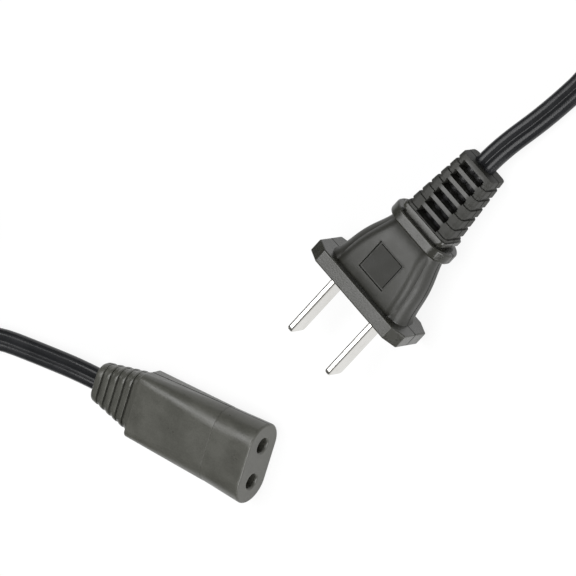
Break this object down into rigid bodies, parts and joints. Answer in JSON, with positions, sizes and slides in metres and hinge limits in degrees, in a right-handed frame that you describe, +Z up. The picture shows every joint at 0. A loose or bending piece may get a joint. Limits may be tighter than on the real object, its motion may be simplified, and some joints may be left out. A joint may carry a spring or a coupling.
{
  "type": "power cord",
  "caption": "Flat twin mains cord with a moulded flat-blade plug at one end and a slim appliance connector at the other, its spare length coiled and tied.",
  "frame": {"origin": "middle of the box round the plug and the connector, on the floor they lie on", "axes": "+Z up, +X the longer way across the two ends, from the connector's cord side to the plug's cord side"},
  "size_m": [0.2273, 0.1323, 0.0142],
  "materials": {
    "plug_pvc": "satin, fine grain",
    "connector_pvc": "satin, fine grain",
    "cord_pvc": "soft gloss",
    "nickel": "nickel plated",
    "contact_brass": "bare",
    "copper": "bare copper strands",
    "holder": "moulded",
    "tie": "ribbed"
  },
  "bodies": {
    "root": {"plug_overmould": "plug_pvc", "plug_bridge": "holder", "blade_left": "nickel", "blade_right": "nickel", "plug_strands_left": "copper", "plug_strands_right": "copper", "plug_cord_end": "cord_pvc", "connector_overmould": "connector_pvc", "connector_insert": "holder", "contact_lower": "contact_brass", "contact_upper": "contact_brass", "connector_strands_lower": "copper", "connector_strands_upper": "copper", "connector_cord_end": "cord_pvc", "cord_plug_side": "cord_pvc", "cord_connector_side": "cord_pvc", "cord_coil": "cord_pvc", "coil_tie": "tie"}
  },
  "joints": []
}
